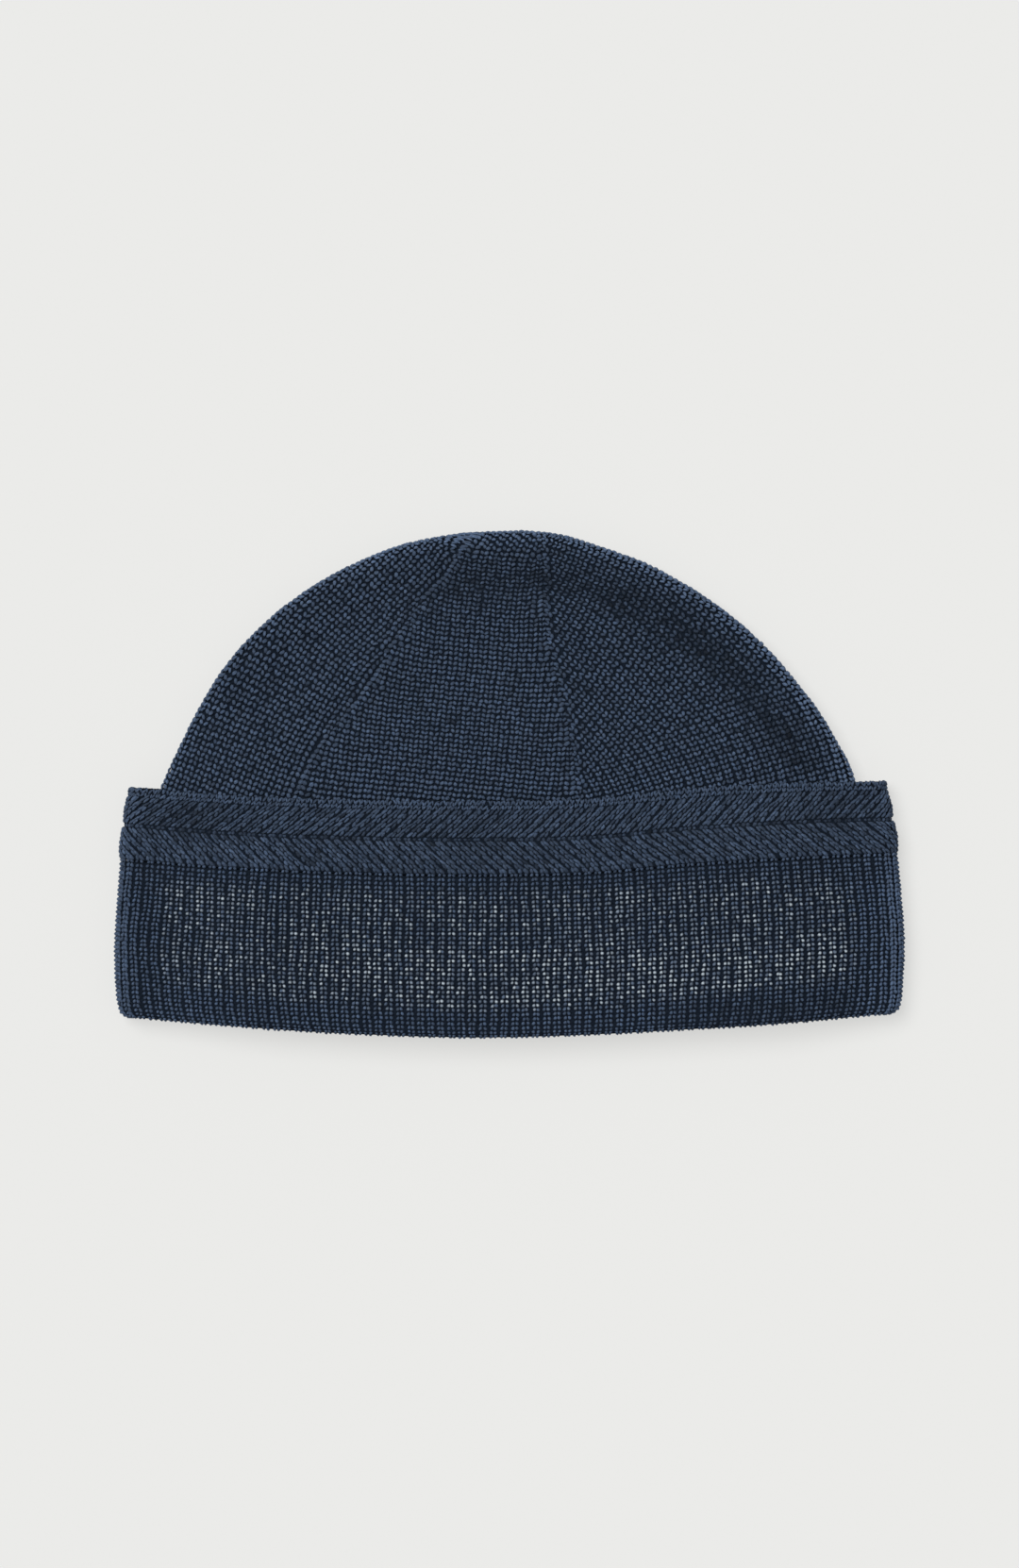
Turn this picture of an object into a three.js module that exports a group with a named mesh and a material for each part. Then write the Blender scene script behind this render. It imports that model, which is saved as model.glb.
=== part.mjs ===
// A knitted fisherman beanie with a turned up cuff, lying flat on its back.
// X runs across the hat, Y from the brim fold to the top of the crown and Z up.
// The origin is the middle of the hat's outline, on the surface that it lies on.
import * as THREE from 'three';

// Driving dimensions in millimetres, the hat lying flat
const hatLength = 157.5; // brim fold to the top of the crown
const crownWidth = 213.8; // across the crown where it comes out of the cuff
const cuffFlare = 15.7; // how far the cuff's widest place stands out past the crown, on each side
const cuffTall = 74; // brim fold to the cuff's top edge, down the middle of the front
const borderTall = 23.4; // racked border along the cuff's top edge
const cuffWall = 2.4;
const borderWall = 2.8;
const crownWall = 2.2;
const middleCavity = 6; // air inside the body between its front and back, in the hat's middle
const sideCavity = 1.4; // the same beside the cuff's side folds
const cavityRise = 42; // from a side fold in to where the air has its full height
const layerGap = 0.4; // air between the body and the cuff turned up over it
const seamGap = 0.3; // air where two pieces are knitted on to each other

// The brim fold and the cuff's edges
const foldLeg = 6; // how far the folded brim reaches up inside the mouth
const foldSag = 6.7; // how far the fold's middle hangs below its corners
const topSag = 5.1; // the same of the cuff's top edge
const foldTilt = 1.1; // how far the fold's right corner is above its left one
const topTilt = 2; // the same of the top edge
const backSag = 0.6; // the back's sag as a share of the front's

// The crown beyond the cuff
const crownLoft = 11.8; // height of its middle
const crestHeight = 11.4; // height beside its rolled edge, without the dent
const crownRoll = 5; // width in plan of the rolled edge
const crownRise = 42; // from the edge in to where the crown has its full height
const dentDepth = 1.7; // long shallow dent inside the rolled edge
const dentPlace = 15; // its middle line, from the edge
const dentWidth = 7; // from its middle line to where it is about a third as deep
const crownBase = 2; // where the crown leaves the cuff, in Y
const settleStart = 6; // past crownBase, where the crown begins to come down to the surface
const settleLength = 24; // from there to where it lies on it
const rimBlend = 0.25; // share of the way up the body in which its rim's sag turns into the dome's
const apexAcross = 0.04; // place of the crown's top, as a share of half the crown's width

// Relief of the knit
const ribsAround = 154;
const ribDepth = 0.5;
const borderRelief = 0.5;

// Steps of the smooth skins
const rollSteps = 3;
const flatSteps = 24;
const crownSteps = 15;
const edgeSteps = 160;
const crowding = 1.7; // how much closer the crown's rings lie towards its top

// Side edges of the cuff: up as a share of its height, left and right as shares of half its width
const cuffSides = [
  { up: 0, left: 0.976, right: 0.976 },
  { up: 0.04, left: 0.99, right: 0.99 },
  { up: 0.15, left: 0.998, right: 0.997 },
  { up: 0.34, left: 1, right: 1 },
  { up: 0.73, left: 0.983, right: 0.979 },
  { up: 0.93, left: 0.967, right: 0.957 },
  { up: 1, left: 0.956, right: 0.947 },
];

// Sag across the hat: across as a share of half its width, fold and top as shares of their sags
const cuffEdges = [
  { across: -1, fold: 0, top: 0 },
  { across: -0.75, fold: 0.39, top: 0.5 },
  { across: -0.45, fold: 0.77, top: 0.83 },
  { across: -0.1, fold: 1, top: 1 },
  { across: 0.2, fold: 0.9, top: 0.94 },
  { across: 0.45, fold: 0.69, top: 0.42 },
  { across: 0.7, fold: 0.44, top: 0.1 },
  { across: 1, fold: 0, top: 0 },
];

// Outline of the crown: up as a share of its height past crownBase, left and right of half its width
const crownOutline = [
  { up: 0, left: 1, right: 1 },
  { up: 0.13, left: 0.956, right: 0.957 },
  { up: 0.285, left: 0.9, right: 0.889 },
  { up: 0.438, left: 0.832, right: 0.802 },
  { up: 0.59, left: 0.738, right: 0.697 },
  { up: 0.743, left: 0.605, right: 0.555 },
  { up: 0.858, left: 0.463, right: 0.407 },
  { up: 0.934, left: 0.33, right: 0.265 },
  { up: 0.984, left: 0.162, right: 0.145 },
];

// Relief of the border: up as a share of its height, proud as a share of its relief
const borderRows = [
  { up: 0, proud: -0.6 },
  { up: 0.06, proud: 0.3 },
  { up: 0.24, proud: 1 },
  { up: 0.42, proud: 0.4 },
  { up: 0.47, proud: -0.4 },
  { up: 0.52, proud: 0.4 },
  { up: 0.68, proud: 1 },
  { up: 0.84, proud: 0.4 },
  { up: 0.88, proud: -0.1 },
  { up: 0.93, proud: 0.8 },
  { up: 0.98, proud: 0.6 },
  { up: 1, proud: -0.6 },
];

const cuffWidth = crownWidth + 2 * cuffFlare;
const layers = 2 * (cuffWall + layerGap + crownWall);
const cuffRoll = (layers + sideCavity) / 2;
const foldRadius = (cuffWall + layerGap + crownWall) / 2;
const bodyDepth = cuffWall + layerGap;
const bodyRim = foldLeg + seamGap;
const foldMiddle = -hatLength / 2;
const crownTop = hatLength / 2;
const { lerp, clamp, smoothstep } = THREE.MathUtils;

// Reads a column of a table between its rows, on a smooth curve through them
function along(rows, key, column, at) {
  const last = rows.length - 1;
  let i = 0;
  while (i < last - 1 && at > rows[i + 1][key]) i += 1;
  const slope = (j) => {
    const before = rows[Math.max(j - 1, 0)];
    const after = rows[Math.min(j + 1, last)];
    return (after[column] - before[column]) / (after[key] - before[key]);
  };
  const span = rows[i + 1][key] - rows[i][key];
  const t = clamp((at - rows[i][key]) / span, 0, 1);
  const ease = t * t * (3 - 2 * t);
  const leave = slope(i) * span * t * (1 - t) * (1 - t);
  const arrive = slope(i + 1) * span * t * t * (1 - t);
  return lerp(rows[i][column], rows[i + 1][column], ease) + leave - arrive;
}

// Share of half a turn that one rolled edge takes, along the cuff's skin
const rollArc = (Math.PI / 2) * cuffRoll;
const rollShare = rollArc / (2 * rollArc + cuffWidth - 2 * cuffRoll);

// Places round the flattened tube, as shares of a turn: the front from left to right, then the back
function plainLoop() {
  const half = [];
  for (let i = 0; i < rollSteps; i += 1) half.push((rollShare * i) / rollSteps);
  for (let i = 0; i <= flatSteps; i += 1) half.push(lerp(rollShare, 1 - rollShare, i / flatSteps));
  for (let i = 1; i < rollSteps; i += 1) half.push(1 - rollShare + (rollShare * i) / rollSteps);
  return [...half.map((share) => share / 2), ...half.map((share) => (share + 1) / 2)];
}

function ribLoop() {
  return Array.from({ length: 2 * ribsAround }, (_, i) => i / (2 * ribsAround));
}

// Where a place lies: which face, how far across from left to right, and how far up its roll
function placeAt(turn, left, right, roll) {
  const face = turn < 0.5 ? 1 : -1;
  const half = face > 0 ? 2 * turn : 2 - 2 * turn;
  const nearer = Math.min(half, 1 - half);
  if (nearer >= rollShare) {
    const flat = (half - rollShare) / (1 - 2 * rollShare);
    return { face, x: lerp(left + roll, right - roll, flat), rise: 1 };
  }
  const angle = (nearer / rollShare) * (Math.PI / 2);
  const inset = roll * (1 - Math.cos(angle));
  return { face, x: half < 0.5 ? left + inset : right - inset, rise: Math.sin(angle) };
}

// Y of the line that runs across the cuff at a height above the fold
function cuffLine(across, above, face) {
  const up = above / cuffTall;
  const sagShare = face > 0 ? 1 : backSag;
  const foldDrop = foldSag * along(cuffEdges, 'across', 'fold', across);
  const topDrop = topSag * along(cuffEdges, 'across', 'top', across);
  const corner = lerp(foldMiddle + foldSag, foldMiddle + cuffTall + topSag, up);
  const tilt = lerp(foldTilt, topTilt, up) * across * 0.5;
  return corner + tilt - sagShare * lerp(foldDrop, topDrop, up);
}

// A side edge of the cuff at a height above the fold
function cuffSide(side, above) {
  const share = along(cuffSides, 'up', side, clamp(above / cuffTall, 0, 1));
  return (side === 'left' ? -share : share) * (cuffWidth / 2);
}

// Height of all the layers at a place, thickest in the middle of the hat
function stackHeight(x, above) {
  const fromSide = Math.min(x - cuffSide('left', above), cuffSide('right', above) - x);
  const open = smoothstep(fromSide, cuffRoll, cavityRise);
  return layers + lerp(sideCavity, middleCavity, open);
}

// A ring round the cuff, at a height above the fold and a depth under its skin for each place
function cuffRing(loop, above, depthAt) {
  return loop.map((turn, i) => {
    const depth = depthAt(i);
    const left = cuffSide('left', above) + depth;
    const right = cuffSide('right', above) - depth;
    const { face, x, rise } = placeAt(turn, left, right, cuffRoll - depth);
    const across = (2 * x - left - right) / (right - left);
    const stack = stackHeight(x, above);
    const z = Math.max(lerp(stack / 2, face > 0 ? stack - depth : depth, rise), 0);
    return new THREE.Vector3(x, cuffLine(across, above, face), z);
  });
}

// Left or right edge of the body, from its rim inside the cuff to the top of the crown
function bodyEdge(side, inset) {
  const sign = side === 'left' ? -1 : 1;
  const rimX = cuffSide(side, bodyRim) - sign * bodyDepth;
  const points = [new THREE.Vector2(rimX, cuffLine(sign, bodyRim, 1))];
  for (const row of crownOutline) {
    const x = sign * row[side] * (crownWidth / 2);
    points.push(new THREE.Vector2(x, lerp(crownBase, crownTop, row.up)));
  }
  points.push(new THREE.Vector2(apexAcross * (crownWidth / 2), crownTop));
  const curve = new THREE.SplineCurve(points);
  curve.arcLengthDivisions = 400;
  return Array.from({ length: edgeSteps + 1 }, (_, i) => {
    const at = curve.getPointAt(i / edgeSteps);
    const ahead = curve.getTangentAt(i / edgeSteps);
    if (i === 0) ahead.set(0, 1);
    if (i === edgeSteps) ahead.set(-sign, 0);
    return new THREE.Vector2(at.x - sign * ahead.y * inset, at.y + sign * ahead.x * inset);
  });
}

// The point at a share of the length of an edge
function edgePoint(edge, share) {
  const at = share * (edge.length - 1);
  const i = Math.min(Math.floor(at), edge.length - 2);
  return edge[i].clone().lerp(edge[i + 1], at - i);
}

// Distance in plan from a point to the nearer edge of the body
function edgeDistance(point, edges) {
  const nearest = new THREE.Vector3();
  const line = new THREE.Line3();
  let best = Infinity;
  for (const edge of edges) {
    for (let i = 0; i + 1 < edge.length; i += 1) {
      line.start.set(edge[i].x, edge[i].y, 0);
      line.end.set(edge[i + 1].x, edge[i + 1].y, 0);
      line.closestPointToPoint(point, true, nearest);
      best = Math.min(best, nearest.distanceTo(point));
    }
  }
  return best;
}

// How far a place has come out of the cuff's stack and settled, from 0 to 1
function settled(y) {
  const start = crownBase + settleStart;
  return smoothstep(y, start, start + settleLength);
}

// Width in plan of the body's rolled edge
function bodyRoll(y) {
  return lerp(cuffRoll - bodyDepth, crownRoll, settled(y));
}

// Heights of the front and the back of the body's outer skin
function bodyHeights(x, y, fromEdge) {
  const tube = stackHeight(x, y - foldMiddle - foldSag) - bodyDepth;
  const rise = smoothstep(fromEdge, crownRoll, crownRise);
  const dent = dentDepth * Math.exp(-(((fromEdge - dentPlace) / dentWidth) ** 2));
  const dome = lerp(crestHeight, crownLoft, rise) - dent;
  const out = settled(y);
  return { front: lerp(tube, dome, out), back: lerp(bodyDepth, 0, out) };
}

// A ring round the body, at a share of the way from its rim to the top, at a depth under its skin
function bodyRing(loop, up, edges, depth) {
  const [leftEdge, rightEdge] = edges;
  const left = edgePoint(leftEdge, up);
  const right = edgePoint(rightEdge, up);
  const width = right.x - left.x;
  const top = crownTop - depth;
  const rimEnds = [leftEdge[0].y, rightEdge[0].y];
  return loop.map((turn) => {
    const roll = Math.min(bodyRoll(left.y) - depth, 0.35 * width);
    const { face, x } = placeAt(turn, left.x, right.x, roll);
    const across = clamp((2 * x - left.x - right.x) / width, -1, 1);
    const rimDrop = lerp(...rimEnds, (across + 1) / 2) - cuffLine(across, bodyRim, face);
    const chord = lerp(left.y, right.y, (across + 1) / 2);
    const drop = (left.y + right.y) / 2 - lerp(cuffLine(0, bodyRim, face), top, up);
    const y = chord - lerp(rimDrop, drop * (1 - across * across), smoothstep(up, 0, rimBlend));
    const fromEdge = edgeDistance(new THREE.Vector3(x, y, 0), edges);
    const { front, back } = bodyHeights(x, y, fromEdge + depth);
    const rise = Math.sqrt(1 - (1 - Math.min(fromEdge / (bodyRoll(y) - depth), 1)) ** 2);
    const z = lerp((front + back) / 2, face > 0 ? front - depth : back + depth, rise);
    return new THREE.Vector3(x, y, z);
  });
}

// Joins rings into one closed skin. Rings with unlike counts meet by their places round the turn.
function skinGeometry(rings, closed) {
  const points = [];
  const triangles = [];
  const starts = rings.map((ring) => {
    const start = points.length;
    points.push(...ring.points);
    return start;
  });
  const bridge = (a, b) => {
    const na = rings[a].points.length;
    const nb = rings[b].points.length;
    const turnAt = (ring, i) => (i < ring.loop.length ? ring.loop[i] : 1);
    let i = 0;
    let j = 0;
    while (i < na || j < nb) {
      const left = starts[a] + (i % na);
      const right = starts[b] + (j % nb);
      const nextA = turnAt(rings[a], i + 1);
      const nextB = turnAt(rings[b], j + 1);
      if (j === nb || (i < na && nextA <= nextB)) {
        triangles.push(left, starts[a] + ((i + 1) % na), right);
        i += 1;
      } else {
        triangles.push(left, starts[b] + ((j + 1) % nb), right);
        j += 1;
      }
    }
  };
  for (let r = 0; r + 1 < rings.length; r += 1) bridge(r, r + 1);
  if (closed) {
    bridge(rings.length - 1, 0);
  } else {
    const cap = (r, flip) => {
      const n = rings[r].points.length;
      const pole = points.length;
      points.push(rings[r].pole);
      for (let i = 0; i < n; i += 1) {
        const here = starts[r] + i;
        const next = starts[r] + ((i + 1) % n);
        triangles.push(pole, flip ? next : here, flip ? here : next);
      }
    };
    cap(0, true);
    cap(rings.length - 1, false);
  }
  const geometry = new THREE.BufferGeometry();
  geometry.setFromPoints(points);
  geometry.setIndex(triangles);
  geometry.computeVertexNormals();
  return geometry;
}

const plain = plainLoop();
const ribbed = ribLoop();
const even = (value) => () => value;
const ribs = (i) => (i % 2 ? ribDepth : 0);

// The brim fold and the turned up layer, from the leg inside the mouth round the fold and up
function cuffGeometry() {
  const rimAbove = cuffTall - borderTall - seamGap;
  const rings = [];
  const add = (loop, above, depthAt) => rings.push({ loop, points: cuffRing(loop, above, depthAt) });
  const foldAt = (degrees) => {
    const angle = THREE.MathUtils.degToRad(degrees);
    return { above: foldRadius * (1 - Math.cos(angle)), depth: foldRadius * (1 - Math.sin(angle)) };
  };
  add(plain, foldLeg, even(2 * foldRadius));
  for (const degrees of [-90, -50, -15]) {
    const { above, depth } = foldAt(degrees);
    add(plain, above, even(depth));
  }
  for (const degrees of [20, 55, 90]) {
    const { above, depth } = foldAt(degrees);
    add(ribbed, above, (i) => depth + ribs(i));
  }
  const levels = [0, 0.5, 1].map((share) => lerp(bodyRim, rimAbove, share));
  for (const above of levels) add(ribbed, above, ribs);
  for (const above of [...levels].reverse()) add(plain, above, even(cuffWall));
  add(plain, foldRadius, even(cuffWall));
  add(plain, foldRadius, even(bodyDepth));
  add(plain, foldLeg, even(bodyDepth));
  return skinGeometry(rings, true);
}

// The racked border, up its outside and down its inside
function borderGeometry() {
  const base = cuffTall - borderTall;
  const rings = [];
  for (const row of borderRows) {
    const depth = cuffWall - borderWall - borderRelief * row.proud;
    const above = base + borderTall * row.up;
    rings.push({ loop: plain, points: cuffRing(plain, above, even(depth)) });
  }
  for (const up of [1, 0.5, 0]) {
    rings.push({ loop: plain, points: cuffRing(plain, base + borderTall * up, even(cuffWall)) });
  }
  return skinGeometry(rings, true);
}

// The hollow body: down its inside from the top of the crown to the rim, and up its outside
function crownGeometry() {
  const levels = Array.from({ length: crownSteps }, (_, i) => 1 - (1 - i / crownSteps) ** crowding);
  const skins = [0, crownWall].map((depth) => {
    const edges = [bodyEdge('left', depth), bodyEdge('right', depth)];
    const rings = levels.map((up) => ({ loop: plain, points: bodyRing(plain, up, edges, depth) }));
    const apexX = apexAcross * (crownWidth / 2);
    const { front, back } = bodyHeights(apexX, crownTop, 0);
    rings[rings.length - 1].pole = new THREE.Vector3(apexX, crownTop - depth, (front + back) / 2);
    return rings;
  });
  return skinGeometry([...skins[1].reverse(), ...skins[0]], false);
}

function yarnMaterial(colour) {
  return new THREE.MeshStandardMaterial({ color: colour, roughness: 0.95, metalness: 0 });
}

function piece(name, geometry, material) {
  const mesh = new THREE.Mesh(geometry, material);
  mesh.name = name;
  return mesh;
}

const beanie = new THREE.Group();
beanie.add(piece('crown', crownGeometry(), yarnMaterial(0x2b3545)));
beanie.add(piece('cuff', cuffGeometry(), yarnMaterial(0x303846)));
beanie.add(piece('cuff_border', borderGeometry(), yarnMaterial(0x2b3443)));
export default beanie;
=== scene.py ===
# A knitted fisherman beanie lying flat, seen from straight above on a plain pale floor.
# Lengths are in millimetres until a mesh is made. X runs across the hat, Y from the brim fold
# to the top of the crown, and Z up. "turn" goes once round the flattened tube: the front from
# left to right, then the back from right to left. "above" is a height over the brim fold,
# "depth" is how far a place lies under the fabric's skin, and "face" is 1 in front and -1 behind.
import math

import bpy
import numpy as np
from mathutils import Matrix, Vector


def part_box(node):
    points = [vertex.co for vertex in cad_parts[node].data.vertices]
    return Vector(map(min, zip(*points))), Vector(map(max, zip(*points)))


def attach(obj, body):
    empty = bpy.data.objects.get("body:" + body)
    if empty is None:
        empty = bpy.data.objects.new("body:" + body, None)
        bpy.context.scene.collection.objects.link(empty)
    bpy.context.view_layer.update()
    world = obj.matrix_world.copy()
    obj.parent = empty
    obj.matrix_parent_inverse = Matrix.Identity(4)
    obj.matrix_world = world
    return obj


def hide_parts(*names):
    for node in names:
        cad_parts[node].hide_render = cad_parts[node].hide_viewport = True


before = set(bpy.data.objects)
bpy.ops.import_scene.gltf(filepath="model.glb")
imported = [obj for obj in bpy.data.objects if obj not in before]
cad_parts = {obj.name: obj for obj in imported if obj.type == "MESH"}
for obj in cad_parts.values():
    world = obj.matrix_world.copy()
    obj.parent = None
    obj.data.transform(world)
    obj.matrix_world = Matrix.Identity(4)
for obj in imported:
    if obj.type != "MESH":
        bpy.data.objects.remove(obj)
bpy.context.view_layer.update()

MM = 0.001
rng = np.random.default_rng(20)

# Sizes of the solids, from the frame
cuff_low, cuff_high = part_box("cuff")
crown_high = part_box("crown")[1]
FOLD_MIDDLE = cuff_low.y / MM
CROWN_TOP = crown_high.y / MM
CUFF_WIDTH = (cuff_high.x - cuff_low.x) / MM

# The same forms as the solids have
FLARE = 31.1  # how much wider the cuff is than the crown
CROWN_WIDTH = CUFF_WIDTH - FLARE
CUFF_TALL = 74
BORDER_TALL = 23.4
CUFF_WALL = 2.4
CROWN_WALL = 2.2
MIDDLE_CAVITY = 6
SIDE_CAVITY = 1.4
CAVITY_RISE = 42
LAYER_GAP = 0.4
SEAM_GAP = 0.3
FOLD_LEG = 6
FOLD_SAG = 6.7
TOP_SAG = 5.1
FOLD_TILT = 1.1
TOP_TILT = 2
BACK_SAG = 0.6
CROWN_LOFT = 11.8
CREST_HEIGHT = 11.4
CROWN_ROLL = 5
CROWN_RISE = 42
DENT_DEPTH = 1.7
DENT_PLACE = 15
DENT_WIDTH = 7
CROWN_BASE = 2
SETTLE_START = 6
SETTLE_LENGTH = 24
APEX_ACROSS = 0.04
RIBS = 154

LAYERS = 2 * (CUFF_WALL + LAYER_GAP + CROWN_WALL)
CUFF_ROLL = (LAYERS + SIDE_CAVITY) / 2
FOLD_RADIUS = (CUFF_WALL + LAYER_GAP + CROWN_WALL) / 2
QUARTER_FOLD = FOLD_RADIUS * math.pi / 2
BODY_DEPTH = CUFF_WALL + LAYER_GAP
BODY_RIM = FOLD_LEG + SEAM_GAP
BORDER_BASE = CUFF_TALL - BORDER_TALL
ROLL_ARC = math.pi / 2 * CUFF_ROLL
ROLL_SHARE = ROLL_ARC / (2 * ROLL_ARC + CUFF_WIDTH - 2 * CUFF_ROLL)

# Share of the cuff's height, then of half its width at the left and at the right
CUFF_SIDES = [
    (0, 0.976, 0.976), (0.04, 0.99, 0.99), (0.15, 0.998, 0.997), (0.34, 1, 1),
    (0.73, 0.983, 0.979), (0.93, 0.967, 0.957), (1, 0.956, 0.947),
]
# Share of half the width, then of the sag of the fold and of the top edge
CUFF_EDGES = [
    (-1, 0, 0), (-0.75, 0.39, 0.5), (-0.45, 0.77, 0.83), (-0.1, 1, 1),
    (0.2, 0.9, 0.94), (0.45, 0.69, 0.42), (0.7, 0.44, 0.1), (1, 0, 0),
]
# Share of the crown's height, then of half its width at the left and at the right
CROWN_OUTLINE = [
    (0, 1, 1), (0.056, 0.982, 0.985), (0.13, 0.956, 0.957), (0.285, 0.9, 0.889),
    (0.438, 0.832, 0.802), (0.59, 0.738, 0.697), (0.743, 0.605, 0.555),
    (0.858, 0.463, 0.407), (0.934, 0.33, 0.265), (0.984, 0.162, 0.145),
]
# Share of the border's height, then how proud it stands
BORDER_ROWS = [
    (0, -0.6), (0.06, 0.3), (0.24, 1), (0.42, 0.4), (0.47, -0.4), (0.52, 0.4),
    (0.68, 1), (0.84, 0.4), (0.88, -0.1), (0.93, 0.8), (0.98, 0.6), (1, -0.6),
]


def lerp(a, b, t):
    return a + (b - a) * t


def smoothstep(value, low, high):
    """Rises from 0 at low to 1 at high."""
    t = np.clip((value - low) / (high - low), 0, 1)
    return t * t * (3 - 2 * t)


def fade(value, low, high):
    """Falls from 1 at low to 0 at high."""
    return 1 - smoothstep(value, low, high)


def hill(value, middle, width):
    """1 in the middle, falling off evenly to both sides."""
    return np.exp(-(((value - middle) / width) ** 2))


def unit(v):
    return v / np.maximum(np.linalg.norm(v, axis=-1, keepdims=True), 1e-9)


def along(rows, column, at):
    """Reads a column of a table between its rows, on a smooth curve through them."""
    table = np.array(rows, float)
    key, value = table[:, 0], table[:, column]
    places = np.arange(len(key))
    before, after = np.maximum(places - 1, 0), np.minimum(places + 1, len(key) - 1)
    slope = (value[after] - value[before]) / (key[after] - key[before])
    i = np.searchsorted(key[1:-1], at, side="left")
    span = key[i + 1] - key[i]
    t = np.clip((at - key[i]) / span, 0, 1)
    ease = t * t * (3 - 2 * t)
    leave = slope[i] * span * t * (1 - t) ** 2
    arrive = slope[i + 1] * span * t * t * (1 - t)
    return lerp(value[i], value[i + 1], ease) + leave - arrive


def lengths(line):
    """How far along a line each of its points is."""
    return np.concatenate([[0], np.cumsum(np.linalg.norm(np.diff(line, axis=0), axis=1))])


def read(line, places, at):
    """Points on a line in plan, between its own points, which are at the given places."""
    return np.stack([np.interp(at, places, line[:, k]) for k in (0, 1)], -1)


def place_at(turn, left, right, roll):
    """Which face a place is on, its x, and how far up its rolled edge it is."""
    turn = np.mod(turn, 1)
    face = np.where(turn < 0.5, 1.0, -1.0)
    half = np.where(turn < 0.5, 2 * turn, 2 - 2 * turn)
    nearer = np.minimum(half, 1 - half)
    angle = np.minimum(nearer / ROLL_SHARE, 1) * math.pi / 2
    inset = roll * (1 - np.cos(angle))
    rolled = np.where(half < 0.5, left + inset, right - inset)
    flat = lerp(left + roll, right - roll, (half - ROLL_SHARE) / (1 - 2 * ROLL_SHARE))
    return face, np.where(nearer >= ROLL_SHARE, flat, rolled), np.sin(angle)


def cuff_line(across, above, face):
    """Y of the line that runs across the cuff at a height above the fold."""
    up = above / CUFF_TALL
    sag = np.where(face > 0, 1, BACK_SAG)
    fold_drop = FOLD_SAG * along(CUFF_EDGES, 1, across)
    top_drop = TOP_SAG * along(CUFF_EDGES, 2, across)
    corner = lerp(FOLD_MIDDLE + FOLD_SAG, FOLD_MIDDLE + CUFF_TALL + TOP_SAG, up)
    tilt = lerp(FOLD_TILT, TOP_TILT, up) * across * 0.5
    return corner + tilt - sag * lerp(fold_drop, top_drop, up)


def cuff_side(side, above):
    """X of the cuff's left or right side."""
    column = 1 if side < 0 else 2
    return side * along(CUFF_SIDES, column, np.clip(above / CUFF_TALL, 0, 1)) * CUFF_WIDTH / 2


def stack_height(x, above):
    """How thick the cuff lies, with all that is folded inside it."""
    from_side = np.minimum(x - cuff_side(-1, above), cuff_side(1, above) - x)
    return LAYERS + lerp(SIDE_CAVITY, MIDDLE_CAVITY, smoothstep(from_side, CUFF_ROLL, CAVITY_RISE))


def cuff_point(turn, above, depth):
    """A place on the cuff: round it, above the fold and under its skin."""
    turn, above, depth = np.broadcast_arrays(turn, above, depth)
    left, right = cuff_side(-1, above) + depth, cuff_side(1, above) - depth
    face, x, rise = place_at(turn, left, right, CUFF_ROLL - depth)
    across = (2 * x - left - right) / (right - left)
    stack = stack_height(x, above)
    z = lerp(stack / 2, np.where(face > 0, stack - depth, depth), rise)
    return np.stack([x, cuff_line(across, above, face), np.maximum(z, 0)], -1)


def brim_point(turn, run, depth):
    """A place on the cuff's outside by its run along the knit: from 0 at the very bottom up the
    outside, and below 0 round under the fold and up inside the mouth."""
    turn, run, depth = np.broadcast_arrays(turn, run, depth)
    angle = np.clip(run / QUARTER_FOLD, -1, 1) * math.pi / 2
    radius = FOLD_RADIUS - depth
    beyond = np.maximum(np.abs(run) - QUARTER_FOLD, 0)
    above = FOLD_RADIUS - radius * np.cos(angle) + beyond
    return cuff_point(turn, above, FOLD_RADIUS - radius * np.sin(angle))


CURVE_STEPS = 40  # between two points of the crown's outline
OUTLINE_STEPS = 160  # along each side of it


def outline_side(side):
    """Points along an edge of the body, from its rim inside the cuff to the top of the crown."""
    column = 1 if side < 0 else 2
    points = [(cuff_side(side, BODY_RIM) - side * BODY_DEPTH, float(cuff_line(side, BODY_RIM, 1)))]
    for row in CROWN_OUTLINE:
        points.append((side * row[column] * CROWN_WIDTH / 2, lerp(CROWN_BASE, CROWN_TOP, row[0])))
    points.append((APEX_ACROSS * CROWN_WIDTH / 2, CROWN_TOP))
    points = np.array(points, float)
    span = np.linalg.norm(np.diff(points, axis=0), axis=1)[:, None]
    slope = np.diff(points, axis=0) / span
    middle = (slope[:-1] * span[1:] + slope[1:] * span[:-1]) / (span[1:] + span[:-1])
    heading = np.vstack([slope[:1], middle, slope[-1:]])
    t = np.linspace(0, 1, CURVE_STEPS + 1)[:-1, None]
    curve = []
    for i in range(len(points) - 1):
        p1, p2, v1, v2 = points[i], points[i + 1], heading[i] * span[i], heading[i + 1] * span[i]
        cubic = 2 * p1 - 2 * p2 + v1 + v2
        square = -3 * p1 + 3 * p2 - 2 * v1 - v2
        curve.append(cubic * t**3 + square * t**2 + v1 * t + p1)
    curve = np.vstack([*curve, points[-1:]])
    places = lengths(curve)
    return read(curve, places, np.linspace(0, places[-1], OUTLINE_STEPS + 1))


LEFT_EDGE, RIGHT_EDGE = outline_side(-1), outline_side(1)
# One line from the left rim over the top to the right rim
OUTLINE = np.vstack([LEFT_EDGE, RIGHT_EDGE[-2::-1]])
outline_ahead = unit(np.gradient(OUTLINE, axis=0))
INWARD = np.stack([outline_ahead[:, 1], -outline_ahead[:, 0]], -1)
BATCH = 4000  # points compared with the outline at a time


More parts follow.
